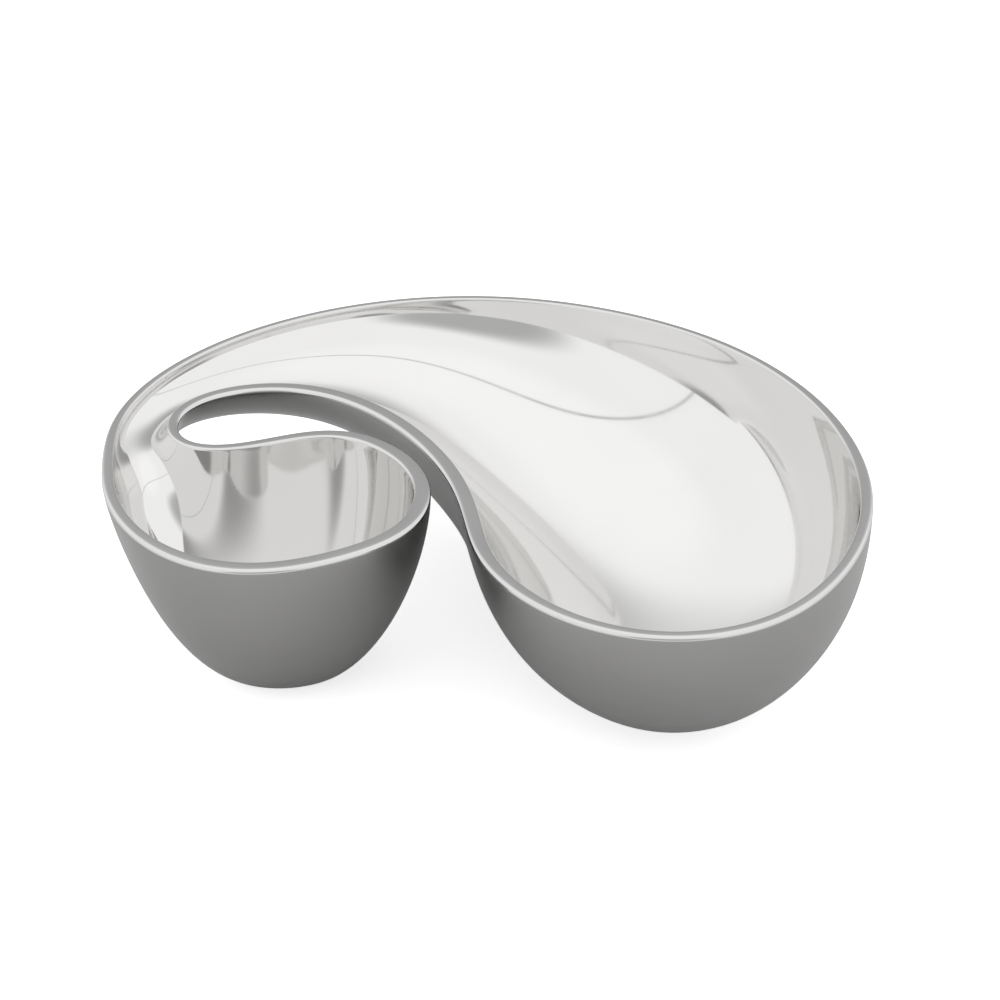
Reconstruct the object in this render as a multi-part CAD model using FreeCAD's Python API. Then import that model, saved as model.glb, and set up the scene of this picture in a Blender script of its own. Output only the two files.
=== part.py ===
import FreeCAD, Part
import math
import os

# Chip and dip server: one polished metal casting. A small dip bowl at the left front runs over a
# raised neck into a channel that widens and deepens along the back into the large chip bowl.
# The curled body leaves a teardrop finger gap between the two bowls, open to the front.
#
# Frame, in millimetres: Z up, the table at z = 0, the origin under the middle of the outline.
# X runs to the right, from the dip bowl to the chip bowl, and Y runs to the back.

HEIGHT = 100.0          # table to the flat top of the rim
OUTER_EDGE = 1.9        # radius of the rim's outer edge
INNER_EDGE = 1.3        # radius of the rim's inner edge
OUTER_FACETS = 3        # flat strips that make up the outer edge's quarter round
INNER_FACETS = 2        # flat strips that make up the inner edge's quarter round
LOOP_STEPS = 6          # surface poles between two neighbouring outline points
WALL_STEPS = 14         # surface poles from the rim down to the floor line
SPLIT_MARGIN = 1        # poles past a bowl's centre line at which its end faces start
BED_DEPTH = 50.0        # depth of the block that levels the two bases
BED_REACH = 400.0       # how far that block reaches from the origin, past every wall
SPLINE_PASSES = 60      # passes that settle a closed spline's control points
SEW_TOLERANCE = 1e-4    # widest gap that sewing closes between neighbouring faces

# The body is a row of straight sections that runs from the dip bowl's centre, over the neck and
# along the back, to the chip bowl's centre. Each outline point is (x, y, width of the rim there,
# fullness of the wall under it). A wall of fullness 0.5 is an ellipse, and a higher value is nearer
# to a cone. A section is (its point on the outside of the curl, its point on the inside of the
# curl, depth of the hollow under the rim, depth of the underside below the rim).
SECTIONS = [
    ((-101.0, -108.0, 8.0, 0.68), (-79.0, 19.0, 7.0, 0.54), 94.0, 102.0),
    ((-137.5, -98.5, 7.5, 0.75), (-94.5, 15.0, 6.5, 0.56), 91.0, 99.5),
    ((-163.5, -72.5, 6.5, 0.82), (-110.5, 9.5, 6.0, 0.60), 77.0, 85.5),
    ((-177.5, -40.5, 6.0, 0.80), (-125.5, 6.0, 6.0, 0.64), 51.0, 59.5),
    ((-182.2, -9.5, 5.5, 0.72), (-138.5, 6.5, 6.0, 0.68), 24.0, 32.0),
    ((-182.7, 19.5, 5.0, 0.64), (-147.0, 14.5, 5.5, 0.71), 13.0, 20.5),
    ((-177.5, 46.5, 5.0, 0.59), (-148.5, 27.0, 5.5, 0.72), 12.0, 19.0),
    ((-166.5, 72.0, 5.0, 0.57), (-144.5, 40.5, 6.0, 0.72), 13.0, 20.0),
    ((-148.0, 98.0, 5.0, 0.55), (-130.5, 52.5, 6.5, 0.68), 16.0, 23.0),
    ((-120.5, 123.5, 5.0, 0.54), (-109.5, 58.5, 7.0, 0.63), 20.5, 27.5),
    ((-81.5, 146.0, 5.0, 0.53), (-86.0, 55.5, 7.5, 0.59), 27.0, 34.0),
    ((-32.5, 159.5, 5.0, 0.52), (-65.0, 44.0, 8.0, 0.56), 36.5, 44.0),
    ((22.5, 158.5, 5.0, 0.50), (-48.0, 28.0, 8.0, 0.55), 51.0, 59.0),
    ((77.5, 140.5, 5.0, 0.48), (-34.5, 9.5, 8.0, 0.55), 67.5, 75.5),
    ((126.5, 106.5, 5.0, 0.46), (-24.0, -10.0, 8.0, 0.55), 80.5, 88.5),
    ((162.0, 58.5, 5.5, 0.44), (-16.5, -29.5, 8.0, 0.55), 88.5, 96.5),
    ((180.5, 2.5, 6.0, 0.42), (-11.5, -49.0, 8.0, 0.56), 92.5, 100.0),
    ((181.0, -55.0, 6.0, 0.42), (-8.0, -69.0, 8.0, 0.58), 94.5, 102.5),
]

# The outline round the two bowl ends, in the same direction of travel.
CHIP_END = [
    (163.0, -108.0, 6.0, 0.46), (128.0, -148.0, 6.0, 0.54), (81.0, -161.0, 6.0, 0.60),
    (39.0, -147.5, 6.5, 0.62), (11.5, -121.0, 7.0, 0.61), (-2.5, -93.5, 7.5, 0.59),
]
DIP_END = [
    (-58.5, 15.5, 7.5, 0.55), (-37.5, -2.5, 8.0, 0.58), (-25.0, -32.0, 8.0, 0.62),
    (-31.5, -69.0, 8.0, 0.63), (-61.0, -95.5, 8.0, 0.64),
]

LAST = len(SECTIONS) - 1
OUTLINE = (
    [section[0] for section in SECTIONS]
    + CHIP_END
    + [section[1] for section in reversed(SECTIONS)]
    + DIP_END
)
CHIP_TURN_END = LAST + len(CHIP_END) + 1     # outline place where the chip bowl's end stops
DIP_TURN_START = CHIP_TURN_END + LAST        # outline place where the dip bowl's end starts


def closed_controls(values):
    """Control points of the closed uniform cubic spline through the values."""
    controls = [list(value) for value in values]
    count = len(values)
    for _ in range(SPLINE_PASSES):
        for i in range(count):
            before = controls[i - 1]
            after = controls[(i + 1) % count]
            controls[i] = [(6 * v - a - b) / 4 for v, a, b in zip(values[i], before, after)]
    return controls


def cubic_weights(f):
    """Weights of four neighbouring control points, and of their first and second derivatives."""
    place = ((1 - f) ** 3 / 6, (3 * f**3 - 6 * f**2 + 4) / 6,
             (-3 * f**3 + 3 * f**2 + 3 * f + 1) / 6, f**3 / 6)
    speed = (-((1 - f) ** 2) / 2, (3 * f**2 - 4 * f) / 2, (-3 * f**2 + 2 * f + 1) / 2, f**2 / 2)
    turn = (1 - f, 3 * f - 2, 1 - 3 * f, f)
    return place, speed, turn


def spline(controls, t):
    """Value, first and second derivative of a closed uniform cubic spline at t."""
    start = math.floor(t)
    near = [controls[(start - 1 + k) % len(controls)] for k in range(4)]
    return [
        [sum(w * point[c] for w, point in zip(weights, near)) for c in range(len(near[0]))]
        for weights in cubic_weights(t - start)
    ]


OUTLINE_CONTROLS = closed_controls(OUTLINE)
DEPTH_CONTROLS = closed_controls(
    [section[2:] for section in SECTIONS] + [section[2:] for section in SECTIONS[-2:0:-1]]
)


def rim_points(t):
    """Outer and inner point of the rim at t, and the wall's fullness.

    The outer point is moved by the spline's own second derivative, which turns a point of the
    outline into the pole of the finer spline that follows the same line.
    """
    (x, y, width, fullness), (dx, dy, _, _), (ddx, ddy, _, _) = spline(OUTLINE_CONTROLS, t)
    speed = math.hypot(dx, dy)
    shift = 1 / (6 * LOOP_STEPS**2)
    outer = (x - shift * ddx, y - shift * ddy)
    inner = (outer[0] + width * dy / speed, outer[1] - width * dx / speed)
    return outer, inner, fullness


def section_place(t):
    """Place along the row of sections that belongs to the outline place t."""
    t = t % len(OUTLINE)
    if t <= LAST:
        return t
    if t <= CHIP_TURN_END:
        return LAST
    if t <= DIP_TURN_START:
        return DIP_TURN_START - t
    return 0


def middle(a, b):
    return ((a[0] + b[0]) / 2, (a[1] + b[1]) / 2)


def wall_poles(edge, centre, fullness, depth, edge_radius):
    """Poles from the floor line up to the rim, at an even turn of the wall.

    The pole beside the floor line is level with it, so the floor runs smoothly across the line.
    """
    poles = []
    for k in range(WALL_STEPS + 1):
        turn = math.pi / 2 * k / WALL_STEPS
        reach = math.sin(turn)
        drop = math.cos(turn) ** (2 * fullness) if 1 < k < WALL_STEPS else float(k <= 1)
        poles.append(FreeCAD.Vector(
            centre[0] + reach * (edge[0] - centre[0]),
            centre[1] + reach * (edge[1] - centre[1]),
            HEIGHT - edge_radius - drop * (depth - edge_radius),
        ))
    return poles


def rim_profile(width):
    """Corners of the rim from its outer wall to its inner wall, as (across, height)."""
    corners = []
    for k in range(OUTER_FACETS + 1):
        turn = math.pi / 2 * k / OUTER_FACETS
        corners.append((OUTER_EDGE * (1 - math.cos(turn)),
                        HEIGHT - OUTER_EDGE * (1 - math.sin(turn))))
    for k in range(INNER_FACETS + 1):
        turn = math.pi / 2 * k / INNER_FACETS
        corners.append((width - INNER_EDGE * (1 - math.sin(turn)),
                        HEIGHT - INNER_EDGE * (1 - math.cos(turn))))
    return corners


def section_bands(t):
    """Pole bands of the skin at t: the outside wall, one strip per rim facet, the inside wall."""
    outer, inner, fullness = rim_points(t)
    place = section_place(t)
    near_outer, near_inner, _ = rim_points(place)
    far_outer, far_inner, _ = rim_points(DIP_TURN_START - place)
    depth_inside, depth_outside = spline(DEPTH_CONTROLS, place)[0]
    outside = wall_poles(outer, middle(near_outer, far_outer), fullness, depth_outside, OUTER_EDGE)
    inside = wall_poles(inner, middle(near_inner, far_inner), fullness, depth_inside, INNER_EDGE)
    width = math.dist(outer, inner)
    rim = [
        FreeCAD.Vector(
            outer[0] + across / width * (inner[0] - outer[0]),
            outer[1] + across / width * (inner[1] - outer[1]),
            height,
        )
        for across, height in rim_profile(width)
    ]
    return [outside] + [list(pair) for pair in zip(rim, rim[1:])] + [inside]


def closed_surface(rows):
    """Surface over one band: cubic along the outline, cubic up a wall and straight on a strip."""
    count = len(rows)
    across = len(rows[0])
    degree = min(3, across - 1)
    spans = across - degree
    surface = Part.BSplineSurface()
    surface.buildFromPolesMultsKnots(
        rows,
        [1] * (count + 1), [degree + 1] + [1] * (spans - 1) + [degree + 1],
        [float(k) for k in range(count + 1)], [float(k) for k in range(spans + 1)],
        True, False, 3, degree,
    )
    return surface


def skin_faces():
    """Faces of the skin. Each band is cut where the bowls' ends meet the body."""
    count = len(OUTLINE) * LOOP_STEPS
    # The first knot of a periodic surface belongs to its second pole, so the poles start early.
    sections = [section_bands((i - 1) / LOOP_STEPS) for i in range(count)]
    breaks = [
        -SPLIT_MARGIN,
        LAST * LOOP_STEPS + SPLIT_MARGIN,
        CHIP_TURN_END * LOOP_STEPS - SPLIT_MARGIN,
        DIP_TURN_START * LOOP_STEPS + SPLIT_MARGIN,
        count - SPLIT_MARGIN,
    ]
    faces = []
    for band in zip(*sections):
        whole = closed_surface(list(band))
        _, _, low, high = whole.bounds()
        for start, end in zip(breaks, breaks[1:]):
            piece = whole.copy()
            piece.segment(start, end, low, high)
            faces.append(piece.toShape())
    return faces


def casting():
    """The skin closed into a solid, with the two bowls cut level where they stand."""
    shell = Part.Compound(skin_faces())
    shell.sewShape(SEW_TOLERANCE)
    body = Part.Solid(shell.Shells[0])
    if body.Volume < 0:
        body.reverse()
    corner = FreeCAD.Vector(-BED_REACH, -BED_REACH, -BED_DEPTH)
    return body.cut(Part.makeBox(2 * BED_REACH, 2 * BED_REACH, BED_DEPTH, corner))


def main():
    os.makedirs("parts", exist_ok=True)
    body = casting()
    print("valid", body.isValid(), "solids", len(body.Solids), "faces", len(body.Faces),
          "volume", round(body.Volume), "mm3")
    body.exportStep("parts/cast_server.step")


main()
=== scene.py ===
import math
import bpy
import numpy as np
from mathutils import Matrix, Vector


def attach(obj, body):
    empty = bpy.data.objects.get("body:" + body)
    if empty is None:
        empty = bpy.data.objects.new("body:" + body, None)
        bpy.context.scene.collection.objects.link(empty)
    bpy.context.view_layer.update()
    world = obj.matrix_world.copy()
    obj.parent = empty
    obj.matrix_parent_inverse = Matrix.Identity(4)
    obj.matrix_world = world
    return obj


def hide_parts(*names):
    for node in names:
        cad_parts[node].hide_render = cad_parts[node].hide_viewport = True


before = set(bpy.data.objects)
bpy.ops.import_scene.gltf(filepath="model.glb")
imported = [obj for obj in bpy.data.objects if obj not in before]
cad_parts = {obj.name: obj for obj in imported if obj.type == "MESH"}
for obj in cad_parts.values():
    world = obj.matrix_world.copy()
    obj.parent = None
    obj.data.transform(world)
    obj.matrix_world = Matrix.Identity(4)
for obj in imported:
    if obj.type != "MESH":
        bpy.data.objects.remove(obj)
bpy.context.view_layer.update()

# ---------------------------------------------------------------------------------------------
# Driving sizes of the casting, in millimetres. MM turns them into metres when the mesh is made.
# ---------------------------------------------------------------------------------------------
MM = 0.001
HEIGHT = 100.0          # table to the flat top of the rim
OUTER_EDGE = 1.9        # radius of the rim's outer edge
INNER_EDGE = 1.3        # radius of the rim's inner edge
LOOP_STEPS = 14         # mesh rings between two neighbouring outline points
WALL_STEPS = 36         # mesh rows from the rim down to the floor line
EDGE_STEPS = 6          # mesh rows round each edge of the rim
RIM_STEPS = 3           # mesh rows across the flat of the rim
BLEND = 2.0             # sections over which a bowl's round end runs into the body
FINE_STEPS = 40         # steps between outline points when the outline is measured
WAVES = 96              # waves along the outline that are kept at most
RIPPLE = 52.0           # waves along the outline shorter than this fade out
FADE_POWER = 6          # how sharply they fade
PLAN_TRIM = 0.9998      # share of the plan size that keeps the mesh inside the CAD faces
SPLINE_PASSES = 60      # passes that settle a spline's control points
POLE_REACH = 0.25       # floor points nearer than this to a bowl's centre join it
FOOT_EASE = 0.6         # softness of the edge round the flats that the bowls stand on

# ---------------------------------------------------------------------------------------------
# Finish. The three finishes are in the order of the mesh's zones.
# ---------------------------------------------------------------------------------------------
OUTSIDE, RIM, INSIDE = range(3)
# Each is (name, colour, roughness where the polish is best and worst, brushed lines per metre
# along X, Y and Z, height of the polishing waves, height of the brushed lines, both in metres).
FINISHES = [
    # The outside's dark grey is partly the satin metal's own duller tone and partly painted shade:
    # far darker than the metal, to dim its reflections of the pale table.
    ("satin_outside_and_painted_shade", (0.37, 0.367, 0.363), (0.28, 0.34), (40, 40, 500), 2e-5, 1e-6),
    ("polished_rim", (0.70, 0.70, 0.695), (0.12, 0.18), (500, 500, 500), 1e-5, 2e-7),
    ("mirror_inside", (0.80, 0.796, 0.788), (0.04, 0.08), (300, 300, 300), 5e-5, 1e-7),
]
CLOUD_SCALE = 22.0      # clouds in the polish, per metre
WAVE_SCALE = 14.0       # slow waves left by polishing, per metre
BRUSH_SHARE = 0.30      # how much of the change in roughness is brushed lines
POLISH_RANGE = (0.30, 0.70)     # noise levels at which the polish is best and worst
DULLED = 0.95           # tone of the least polished metal, next to the best
MIRROR_BOUNCES = 12     # reflections that light may make inside the bowls

# ---------------------------------------------------------------------------------------------
# Studio and camera. A direction is (right, back, up).
# ---------------------------------------------------------------------------------------------
FLOOR_REACH = 4.0       # metres from the dish to the edge of the floor
FLOOR_COLOUR = (0.80, 0.80, 0.80, 1.0)     # pale grey
FLOOR_ROUGHNESS = 0.9
FLOOR_SHINE = 0.1       # specular level of the pale table
FLOOR_GLOW = 0.70       # light that the pale table adds where the camera sees it
TENT_LEVEL = 1.08       # brightness of the white tent between its panels
BACKGROUND_LEVEL = 1.0  # brightness of the plain background that the camera sees
CAMERA_AIM = (0.00792, 0.03455, 0.05)      # metres
CAMERA_ELEVATION = 31.5     # degrees above the table
CAMERA_DISTANCE = 1.4       # metres
CAMERA_LENS = 100.8         # millimetres
SENSOR_WIDTH = 36.0         # millimetres

# Panels: (direction, degrees where it is full, degrees where it is gone, brightness).
PANELS = [
    ((0.0, 1.0, 0.15), 12, 48, 0.46),       # grey backdrop low behind the dish
    ((0.0, 0.05, 1.0), 14, 46, 1.15),       # light panel overhead
    ((0.0, -1.0, 0.15), 12, 34, 0.52),      # open front, where the tent has its slot
]
# Seams of the tent: (direction square to the seam, half its width in degrees, brightness).
SEAMS = [
    ((0.4, -1.0, -0.25), 1.0, 0.60),
]

# A section is (its point on the outside of the curl, its point on the inside of the curl, depth
# of the hollow under the rim, depth of the underside below the rim). Each outline point is
# (x, y, width of the rim there, fullness of the wall under it).
SECTIONS = [
    ((-101.0, -108.0, 8.0, 0.68), (-79.0, 19.0, 7.0, 0.54), 94.0, 102.0),
    ((-137.5, -98.5, 7.5, 0.75), (-94.5, 15.0, 6.5, 0.56), 91.0, 99.5),
    ((-163.5, -72.5, 6.5, 0.82), (-110.5, 9.5, 6.0, 0.60), 77.0, 85.5),
    ((-177.5, -40.5, 6.0, 0.80), (-125.5, 6.0, 6.0, 0.64), 51.0, 59.5),
    ((-182.2, -9.5, 5.5, 0.72), (-138.5, 6.5, 6.0, 0.68), 24.0, 32.0),
    ((-182.7, 19.5, 5.0, 0.64), (-147.0, 14.5, 5.5, 0.71), 13.0, 20.5),
    ((-177.5, 46.5, 5.0, 0.59), (-148.5, 27.0, 5.5, 0.72), 12.0, 19.0),
    ((-166.5, 72.0, 5.0, 0.57), (-144.5, 40.5, 6.0, 0.72), 13.0, 20.0),
    ((-148.0, 98.0, 5.0, 0.55), (-130.5, 52.5, 6.5, 0.68), 16.0, 23.0),
    ((-120.5, 123.5, 5.0, 0.54), (-109.5, 58.5, 7.0, 0.63), 20.5, 27.5),
    ((-81.5, 146.0, 5.0, 0.53), (-86.0, 55.5, 7.5, 0.59), 27.0, 34.0),
    ((-32.5, 159.5, 5.0, 0.52), (-65.0, 44.0, 8.0, 0.56), 36.5, 44.0),
    ((22.5, 158.5, 5.0, 0.50), (-48.0, 28.0, 8.0, 0.55), 51.0, 59.0),
    ((77.5, 140.5, 5.0, 0.48), (-34.5, 9.5, 8.0, 0.55), 67.5, 75.5),
    ((126.5, 106.5, 5.0, 0.46), (-24.0, -10.0, 8.0, 0.55), 80.5, 88.5),
    ((162.0, 58.5, 5.5, 0.44), (-16.5, -29.5, 8.0, 0.55), 88.5, 96.5),
    ((180.5, 2.5, 6.0, 0.42), (-11.5, -49.0, 8.0, 0.56), 92.5, 100.0),
    ((181.0, -55.0, 6.0, 0.42), (-8.0, -69.0, 8.0, 0.58), 94.5, 102.5),
]
# The outline round the two bowl ends, in the same direction of travel.
CHIP_END = [
    (163.0, -108.0, 6.0, 0.46), (128.0, -148.0, 6.0, 0.54), (81.0, -161.0, 6.0, 0.60),
    (39.0, -147.5, 6.5, 0.62), (11.5, -121.0, 7.0, 0.61), (-2.5, -93.5, 7.5, 0.59),
]
DIP_END = [
    (-58.5, 15.5, 7.5, 0.55), (-37.5, -2.5, 8.0, 0.58), (-25.0, -32.0, 8.0, 0.62),
    (-31.5, -69.0, 8.0, 0.63), (-61.0, -95.5, 8.0, 0.64),
]

LAST = len(SECTIONS) - 1
OUTLINE = np.array(
    [section[0] for section in SECTIONS]
    + CHIP_END
    + [section[1] for section in reversed(SECTIONS)]
    + DIP_END
)
DEPTHS = np.array(
    [section[2:] for section in SECTIONS] + [section[2:] for section in SECTIONS[-2:0:-1]]
)
CHIP_TURN_END = LAST + len(CHIP_END) + 1     # outline place where the chip bowl's end stops
DIP_TURN_START = CHIP_TURN_END + LAST        # outline place where the dip bowl's end starts
CHIP_POLE = (LAST + CHIP_TURN_END) / 2       # outline place in the middle of the chip bowl's end
DIP_POLE = (DIP_TURN_START + len(OUTLINE)) / 2


# ---------------------------------------------------------------------------------------------
# Shape
# ---------------------------------------------------------------------------------------------
def closed_controls(values):
    """Control points of the closed uniform cubic spline through the values."""
    controls = values.copy()
    for _ in range(SPLINE_PASSES):
        for i in range(len(values)):
            neighbours = controls[i - 1] + controls[(i + 1) % len(values)]
            controls[i] = (6 * values[i] - neighbours) / 4
    return controls


def spline(controls, t):
    """Value and first derivative of a closed uniform cubic spline at every t."""
    start = np.floor(t).astype(int)
    f = (t - start)[:, None]
    place = ((1 - f) ** 3 / 6, (3 * f**3 - 6 * f**2 + 4) / 6,
             (-3 * f**3 + 3 * f**2 + 3 * f + 1) / 6, f**3 / 6)
    speed = (-((1 - f) ** 2) / 2, (3 * f**2 - 4 * f) / 2, (-3 * f**2 + 2 * f + 1) / 2, f**2 / 2)
    near = [controls[(start - 1 + k) % len(controls)] for k in range(4)]
    value = sum(w * c for w, c in zip(place, near))
    slope = sum(w * c for w, c in zip(speed, near))
    return value, slope


def soft_start(u):
    """0 below -BLEND, u above BLEND, and a smooth bend between."""
    rise = np.clip((u + BLEND) / (2 * BLEND), 0.0, 1.0)
    return np.where(u < BLEND, BLEND * (2 * rise**3 - rise**4), u)


def section_place(t):
    """Place along the row of sections that belongs to each outline place.

    It is the same on both sides of the body, and it eases to a stop in the bowls' round ends.
    """
    side = np.where(t > CHIP_POLE, DIP_TURN_START - t, t)
    side = np.where(t > DIP_POLE, t - len(OUTLINE), side)
    return soft_start(side) - soft_start(side - LAST)


def outline_waves():
    """The outline as waves along its length, without ripples between its points.

    Returns the fine outline places, the distance along the outline at each, the outline's whole
    length and the waves of x, y, rim width and fullness.
    """
    t = np.arange(len(OUTLINE) * FINE_STEPS + 1) / FINE_STEPS
    line = spline(closed_controls(OUTLINE), t)[0]
    steps = np.linalg.norm(np.diff(line[:, :2], axis=0), axis=1)
    along = np.concatenate([[0.0], np.cumsum(steps)])
    length = along[-1]
    shares = (steps + np.roll(steps, 1)) / 2 / length
    order = np.arange(WAVES)[:, None]
    turns = np.exp(-2j * math.pi * order * along[:-1] / length)
    waves = (turns * shares) @ line[:-1]
    waves[1:] *= 2
    return t, along, length, waves / (1 + (order * RIPPLE / length) ** FADE_POWER)


def rim_points(t):
    """Outer and inner point of the rim, the rim's inward direction, its width and fullness."""
    fine_t, along, length, waves = OUTLINE_WAVES
    distance = np.interp(t % len(OUTLINE), fine_t, along)
    order = np.arange(WAVES)
    turns = np.exp(2j * math.pi * distance[:, None] * order / length)
    value = (turns @ waves).real
    slope = (turns * 1j * order @ waves).real
    inward = np.stack([slope[:, 1], -slope[:, 0]], axis=1)
    inward /= np.linalg.norm(inward, axis=1, keepdims=True)
    width = value[:, 2:3]
    return value[:, :2], value[:, :2] + inward * width, inward, width, value[:, 3]


def wall_rows(edge, centre, fullness, depth, edge_radius):
    """Rows of one wall from the floor line up to the rim's edge."""
    rows = []
    for k in range(WALL_STEPS + 1):
        turn = math.pi / 2 * k / WALL_STEPS
        across = centre + math.sin(turn) * (edge - centre)
        drop = max(math.cos(turn), 0.0) ** (2 * fullness)
        height = HEIGHT - edge_radius - drop * (depth - edge_radius)
        rows.append(np.column_stack([across, height]))
    return rows


def rim_rows(outer, inward, width):
    """Rows over the rim: the outer edge, the flat and the inner edge."""
    offsets = []
    for k in range(1, EDGE_STEPS + 1):
        turn = math.pi / 2 * k / EDGE_STEPS
        offsets.append((OUTER_EDGE * (1 - math.cos(turn)), OUTER_EDGE * (math.sin(turn) - 1)))
    flat = width - OUTER_EDGE - INNER_EDGE
    offsets += [(OUTER_EDGE + flat * k / RIM_STEPS, 0.0) for k in range(1, RIM_STEPS)]
    for k in range(EDGE_STEPS):
        turn = math.pi / 2 * k / EDGE_STEPS
        offsets.append((width - INNER_EDGE * (1 - math.sin(turn)), INNER_EDGE * (math.cos(turn) - 1)))
    return [
        np.column_stack([outer + inward * across, np.full(len(outer), HEIGHT + up)])
        for across, up in offsets
    ]


OUTLINE_WAVES = outline_waves()


def casting_rings():
    """Points of the casting's skin: [ring along the outline, row from underside to hollow, xyz]."""
    t = np.arange(len(OUTLINE) * LOOP_STEPS) / LOOP_STEPS
    place = section_place(t)
    outer, inner, inward, width, fullness = rim_points(t)
    near_outer, near_inner = rim_points(place)[:2]
    far_outer, far_inner = rim_points(DIP_TURN_START - place)[:2]
    depth_inside, depth_outside = spline(closed_controls(DEPTHS), place)[0].T
    outside = wall_rows(outer, (near_outer + far_outer) / 2, fullness, depth_outside, OUTER_EDGE)
    inside = wall_rows(inner, (near_inner + far_inner) / 2, fullness, depth_inside, INNER_EDGE)
    rows = outside + rim_rows(outer, inward, width) + inside[::-1]
    rings = np.stack(rows, axis=1)
    under = rings[:, : WALL_STEPS + 1, 2]
    rings[:, : WALL_STEPS + 1, 2] = (under + np.sqrt(under**2 + FOOT_EASE**2)) / 2
    return rings


def floor_line_index(line):
    """Vertex number of each ring's point on a floor line, where the two sides meet."""
    count = len(line)
    poles = [int(CHIP_POLE * LOOP_STEPS), int(DIP_POLE * LOOP_STEPS)]
    numbers = np.empty(count, dtype=int)
    for i in range(count):
        mirrored = (DIP_TURN_START * LOOP_STEPS - i) % count
        numbers[i] = min(i, mirrored)
        for pole in poles:
            if np.linalg.norm(line[i] - line[pole]) < POLE_REACH:
                numbers[i] = pole
    return numbers


def casting_mesh():
    """The casting's closed skin as one mesh; each face's material is its row's zone."""
    rings = casting_rings()
    count, rows = rings.shape[:2]
    numbers = np.arange(count * rows).reshape(count, rows)
    for row in (0, rows - 1):
        numbers[:, row] = numbers[floor_line_index(rings[:, row]), row]
    faces = []
    zones = []
    rim_start = WALL_STEPS
    rim_end = WALL_STEPS + 2 * EDGE_STEPS + RIM_STEPS - 1
    for i in range(count):
        j = (i + 1) % count
        for row in range(rows - 1):
            loop = [numbers[i, row], numbers[i, row + 1], numbers[j, row + 1], numbers[j, row]]
            corners = list(dict.fromkeys(int(n) for n in loop))
            if len(corners) < 3:
                continue
            faces.append(corners)
            zones.append(OUTSIDE if row < rim_start else RIM if row < rim_end else INSIDE)
    used = sorted({n for face in faces for n in face})
    renumber = {n: k for k, n in enumerate(used)}
    points = rings.reshape(-1, 3)[used] * (PLAN_TRIM * MM, PLAN_TRIM * MM, MM)
    mesh = bpy.data.meshes.new("server_casting")
    mesh.from_pydata([tuple(p) for p in points], [], [[renumber[n] for n in f] for f in faces])
    mesh.polygons.foreach_set("material_index", zones)
    mesh.polygons.foreach_set("use_smooth", [True] * len(faces))
    mesh.validate()
    mesh.update()
    return mesh


# ---------------------------------------------------------------------------------------------
# Materials
# ---------------------------------------------------------------------------------------------
class Nodes:
    """Small helper that adds nodes to one node tree and links them."""

    def __init__(self, tree):
        self.tree = tree
        tree.nodes.clear()

    def add(self, kind, inputs=None, **settings):
        node = self.tree.nodes.new(kind)
        for name, value in settings.items():
            setattr(node, name, value)
        for name, value in (inputs or {}).items():
            if isinstance(value, bpy.types.NodeSocket):
                self.tree.links.new(value, node.inputs[name])
            else:
                node.inputs[name].default_value = value
        return node


def metal(name, colour, rough, brush, wave_height, brush_height):
    """Cast metal: cloudy tone and roughness, slow polishing waves and fine brushed lines.

    The brushed lines run along the axes on which there are few of them per metre.
    """
    material = bpy.data.materials.new(name)
    material.use_nodes = True
    nodes = Nodes(material.node_tree)
    place = nodes.add("ShaderNodeTexCoord").outputs["Object"]
    clouds = nodes.add("ShaderNodeTexNoise", {"Vector": place, "Scale": CLOUD_SCALE, "Detail": 2.0,
                                              "Roughness": 0.5})
    stretched = nodes.add("ShaderNodeMapping", {"Vector": place, "Scale": brush})
    lines = nodes.add("ShaderNodeTexNoise", {"Vector": stretched.outputs["Vector"], "Scale": 1.0,
                                             "Detail": 1.0, "Roughness": 0.6})
    polish = nodes.add("ShaderNodeMix", {"Factor": BRUSH_SHARE, "A": clouds.outputs["Fac"],
                                         "B": lines.outputs["Fac"]}, data_type="FLOAT")
    roughness = nodes.add("ShaderNodeMapRange", {
        "Value": polish.outputs["Result"], "From Min": POLISH_RANGE[0],
        "From Max": POLISH_RANGE[1], "To Min": rough[0], "To Max": rough[1]},
        interpolation_type="SMOOTHERSTEP")
    waves = nodes.add("ShaderNodeTexNoise", {"Vector": place, "Scale": WAVE_SCALE, "Detail": 0.0})
    wave_bump = nodes.add("ShaderNodeBump", {"Strength": 1.0, "Distance": wave_height,
                                             "Height": waves.outputs["Fac"]})
    bump = nodes.add("ShaderNodeBump", {"Strength": 1.0, "Distance": brush_height,
                                        "Height": lines.outputs["Fac"],
                                        "Normal": wave_bump.outputs["Normal"]})
    tone = nodes.add("ShaderNodeMix", {"Factor": clouds.outputs["Fac"]}, data_type="RGBA")
    tone.inputs["A"].default_value = (*[c * DULLED for c in colour], 1.0)
    tone.inputs["B"].default_value = (*colour, 1.0)
    shader = nodes.add("ShaderNodeBsdfPrincipled", {
        "Base Color": tone.outputs["Result"], "Metallic": 1.0,
        "Roughness": roughness.outputs["Result"], "Normal": bump.outputs["Normal"]})
    nodes.add("ShaderNodeOutputMaterial", {"Surface": shader.outputs["BSDF"]})
    return material


def make_casting():
    """The whole dish, in place of its CAD solid."""
    mesh = casting_mesh()
    for finish in FINISHES:
        mesh.materials.append(metal(*finish))
    casting = bpy.data.objects.new("server_casting", mesh)
    bpy.context.scene.collection.objects.link(casting)
    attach(casting, "root")
    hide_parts("cast_server")


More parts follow.
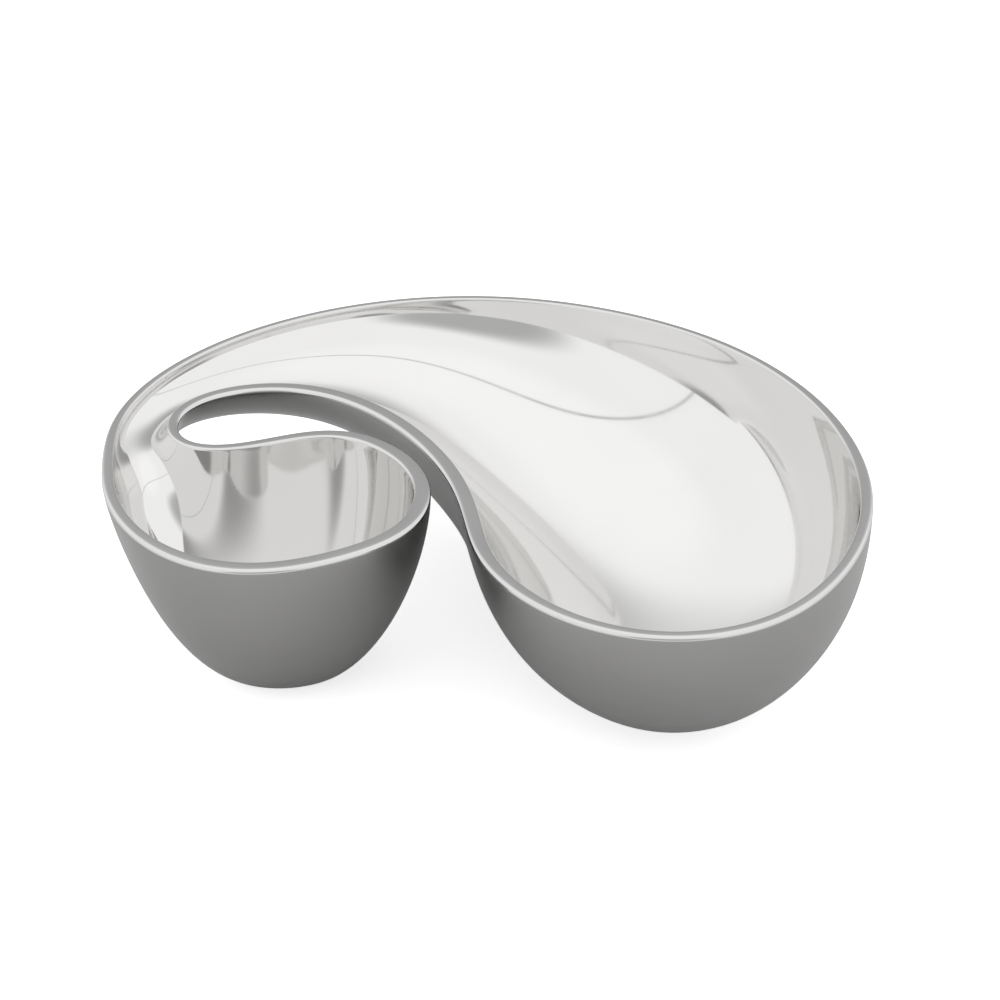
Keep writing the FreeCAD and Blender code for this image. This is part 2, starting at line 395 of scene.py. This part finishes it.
# ---------------------------------------------------------------------------------------------
# Studio: pale floor, soft light, camera
# ---------------------------------------------------------------------------------------------
def make_floor():
    """Pale table that glows a little to the camera, so that the shadows stay faint."""
    mesh = bpy.data.meshes.new("floor")
    side = FLOOR_REACH
    mesh.from_pydata([(-side, -side, 0), (side, -side, 0), (side, side, 0), (-side, side, 0)],
                     [], [(0, 1, 2, 3)])
    floor = bpy.data.objects.new("floor", mesh)
    material = bpy.data.materials.new("pale_floor")
    material.use_nodes = True
    nodes = Nodes(material.node_tree)
    seen = nodes.add("ShaderNodeLightPath").outputs["Is Camera Ray"]
    glow = nodes.add("ShaderNodeMath", {0: seen, 1: FLOOR_GLOW}, operation="MULTIPLY")
    shader = nodes.add("ShaderNodeBsdfPrincipled", {
        "Base Color": FLOOR_COLOUR, "Roughness": FLOOR_ROUGHNESS,
        "Specular IOR Level": FLOOR_SHINE,
        "Emission Color": (1.0, 1.0, 1.0, 1.0), "Emission Strength": glow.outputs["Value"]})
    nodes.add("ShaderNodeOutputMaterial", {"Surface": shader.outputs["BSDF"]})
    mesh.materials.append(material)
    bpy.context.scene.collection.objects.link(floor)


def panel_weight(nodes, view, towards, full, gone):
    """1 within full degrees of a direction, fading to 0 at gone degrees from it."""
    aim = Vector(towards).normalized()
    along = nodes.add("ShaderNodeVectorMath", {0: view, 1: aim}, operation="DOT_PRODUCT")
    weight = nodes.add("ShaderNodeMapRange", {
        "Value": along.outputs["Value"], "From Min": math.cos(math.radians(gone)),
        "From Max": math.cos(math.radians(full))}, interpolation_type="SMOOTHERSTEP")
    return weight.outputs["Result"]


def seam_weight(nodes, view, across, width):
    """1 on the great circle square to a direction, fading to 0 at width degrees from it."""
    aim = Vector(across).normalized()
    along = nodes.add("ShaderNodeVectorMath", {0: view, 1: aim}, operation="DOT_PRODUCT")
    off = nodes.add("ShaderNodeMath", {0: along.outputs["Value"]}, operation="ABSOLUTE")
    weight = nodes.add("ShaderNodeMapRange", {
        "Value": off.outputs["Value"], "From Min": math.sin(math.radians(width)),
        "From Max": 0.0}, interpolation_type="SMOOTHERSTEP")
    return weight.outputs["Result"]


def make_studio():
    """A white tent: soft panels of light and grey all round, plain white where it is in view."""
    world = bpy.data.worlds.new("studio")
    bpy.context.scene.world = world
    world.use_nodes = True
    nodes = Nodes(world.node_tree)
    view = nodes.add("ShaderNodeTexCoord").outputs["Generated"]
    light = TENT_LEVEL
    weights = [(panel_weight(nodes, view, *panel[:3]), panel[3]) for panel in PANELS]
    weights += [(seam_weight(nodes, view, *seam[:2]), seam[2]) for seam in SEAMS]
    for weight, level in weights:
        mix = nodes.add("ShaderNodeMix", {"Factor": weight, "A": light, "B": level},
                        data_type="FLOAT")
        light = mix.outputs["Result"]
    seen = nodes.add("ShaderNodeLightPath").outputs["Is Camera Ray"]
    shown = nodes.add("ShaderNodeMix", {"Factor": seen, "A": light, "B": BACKGROUND_LEVEL},
                      data_type="FLOAT")
    background = nodes.add("ShaderNodeBackground", {"Color": (1.0, 1.0, 1.0, 1.0),
                                                    "Strength": shown.outputs["Result"]})
    nodes.add("ShaderNodeOutputWorld", {"Surface": background.outputs["Background"]})


def make_camera():
    """Camera in front of the dish, looking along +Y and down by CAMERA_ELEVATION."""
    elevation = math.radians(CAMERA_ELEVATION)
    back = CAMERA_DISTANCE * math.cos(elevation)
    up = CAMERA_DISTANCE * math.sin(elevation)
    camera_data = bpy.data.cameras.new("camera")
    camera_data.sensor_width = SENSOR_WIDTH
    camera_data.lens = CAMERA_LENS
    camera = bpy.data.objects.new("camera", camera_data)
    camera.location = Vector(CAMERA_AIM) + Vector((0.0, -back, up))
    camera.rotation_euler = (math.pi / 2 - elevation, 0.0, 0.0)
    bpy.context.scene.collection.objects.link(camera)
    bpy.context.scene.camera = camera


make_casting()
make_floor()
make_studio()
make_camera()
bpy.context.scene.view_settings.view_transform = "Standard"
bpy.context.scene.cycles.glossy_bounces = MIRROR_BOUNCES
